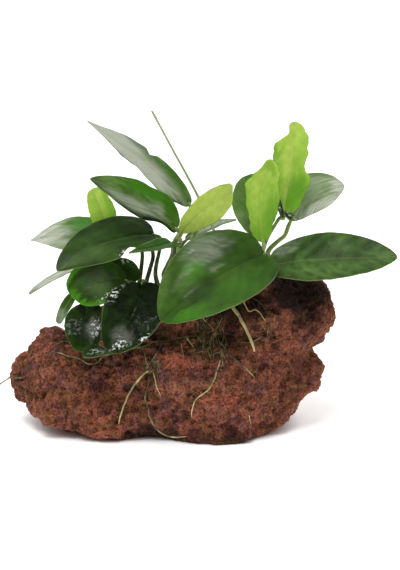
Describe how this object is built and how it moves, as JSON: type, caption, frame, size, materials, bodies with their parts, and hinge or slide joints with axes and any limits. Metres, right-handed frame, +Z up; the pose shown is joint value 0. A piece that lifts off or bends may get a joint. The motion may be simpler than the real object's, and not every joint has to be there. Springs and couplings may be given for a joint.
{
  "type": "anubias on stone",
  "caption": "Aquarium plant with broad glossy leaves on a creeping rhizome, its roots clinging to a rough lava stone.",
  "frame": {"origin": "middle of the flat resting face under the stone", "axes": "+Z up, -Y towards the viewer of the front, +X to the right of the front view"},
  "size_m": [0.1862, 0.0952, 0.1432],
  "materials": {
    "lava": "rough porous stone",
    "leaf_green": "waxy wet leaf",
    "young_leaf_green": "soft young leaf",
    "stalk_green": "smooth plant stalk",
    "rhizome_skin": "ringed plant skin",
    "root_skin": "matte root skin"
  },
  "bodies": {
    "root": {"lava_stone": "lava", "rhizome": "rhizome_skin", "leaf_front_broad": "leaf_green", "leaf_right_long": "leaf_green", "leaf_right_back": "leaf_green", "leaf_centre_back": "leaf_green", "leaf_young_short": "young_leaf_green", "leaf_young_tall": "young_leaf_green", "leaf_young_centre": "young_leaf_green", "leaf_upper_left": "leaf_green", "leaf_left_upper": "leaf_green", "leaf_small_yellow": "young_leaf_green", "leaf_left_dark": "leaf_green", "leaf_left_far": "leaf_green", "leaf_left_low": "leaf_green", "leaf_small_flat": "leaf_green", "leaf_left_round": "leaf_green", "leaf_low_left": "leaf_green", "leaf_low_middle": "leaf_green", "leaf_low_small": "leaf_green", "leaf_shaded": "leaf_green", "leaf_drooping": "leaf_green", "leaf_behind_centre": "leaf_green", "stalk_front_broad": "stalk_green", "stalk_right_long": "stalk_green", "stalk_right_back": "stalk_green", "stalk_centre_back": "stalk_green", "stalk_young_short": "stalk_green", "stalk_young_tall": "stalk_green", "stalk_young_centre": "stalk_green", "stalk_upper_left": "stalk_green", "stalk_left_upper": "stalk_green", "stalk_small_yellow": "stalk_green", "stalk_left_dark": "stalk_green", "stalk_left_far": "stalk_green", "stalk_left_low": "stalk_green", "stalk_small_flat": "stalk_green", "stalk_left_round": "stalk_green", "stalk_low_left": "stalk_green", "stalk_low_middle": "stalk_green", "stalk_low_small": "stalk_green", "stalk_shaded": "stalk_green", "stalk_drooping": "stalk_green", "stalk_behind_centre": "stalk_green", "stalk_bare": "stalk_green", "root_thick": "root_skin", "root_forked": "root_skin", "root_bowed_right": "root_skin", "root_tangled": "root_skin", "root_slanting": "root_skin", "root_hooked": "root_skin", "root_upright": "root_skin", "root_level_right": "root_skin", "root_long_left": "root_skin", "root_short_left": "root_skin", "root_pale_left": "root_skin", "root_olive_middle": "root_skin", "root_pale_middle": "root_skin", "root_trailing": "root_skin"}
  },
  "joints": []
}
